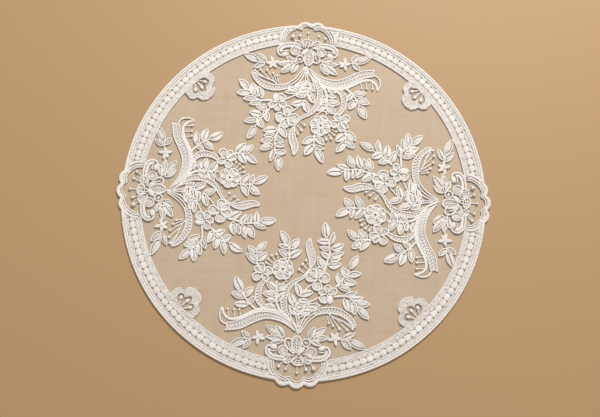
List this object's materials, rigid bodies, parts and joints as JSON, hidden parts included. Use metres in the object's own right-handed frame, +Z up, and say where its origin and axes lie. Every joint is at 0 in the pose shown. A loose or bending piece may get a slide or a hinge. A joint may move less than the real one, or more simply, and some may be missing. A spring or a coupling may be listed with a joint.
{
  "type": "round lace doily",
  "caption": "Round flat doily of sheer net with a corded rim, scalloped medallions, flower sprays and small rosettes in raised ivory thread.",
  "frame": {"origin": "centre of the doily on the surface it lies on", "axes": "+Z up out of the lace face, -Y towards the front medallion, +X towards the right medallion"},
  "size_m": [0.349, 0.3495, 0.0025],
  "materials": {
    "thread": "ivory satin-stitched thread with a soft sheen, raised cords and fine stitch lines",
    "net": "sheer fine net, see-through, matt, warm beige over what it lies on"
  },
  "bodies": {
    "root": {"ground": "net", "band_1": "thread", "band_2": "thread", "band_3": "thread", "band_4": "thread", "rosette_1": "thread", "rosette_2": "thread", "rosette_3": "thread", "rosette_4": "thread", "medallion_front": "thread", "medallion_right": "thread", "medallion_back": "thread", "medallion_left": "thread", "spray_front": "thread", "spray_right": "thread", "spray_back": "thread", "spray_left": "thread"}
  },
  "joints": []
}
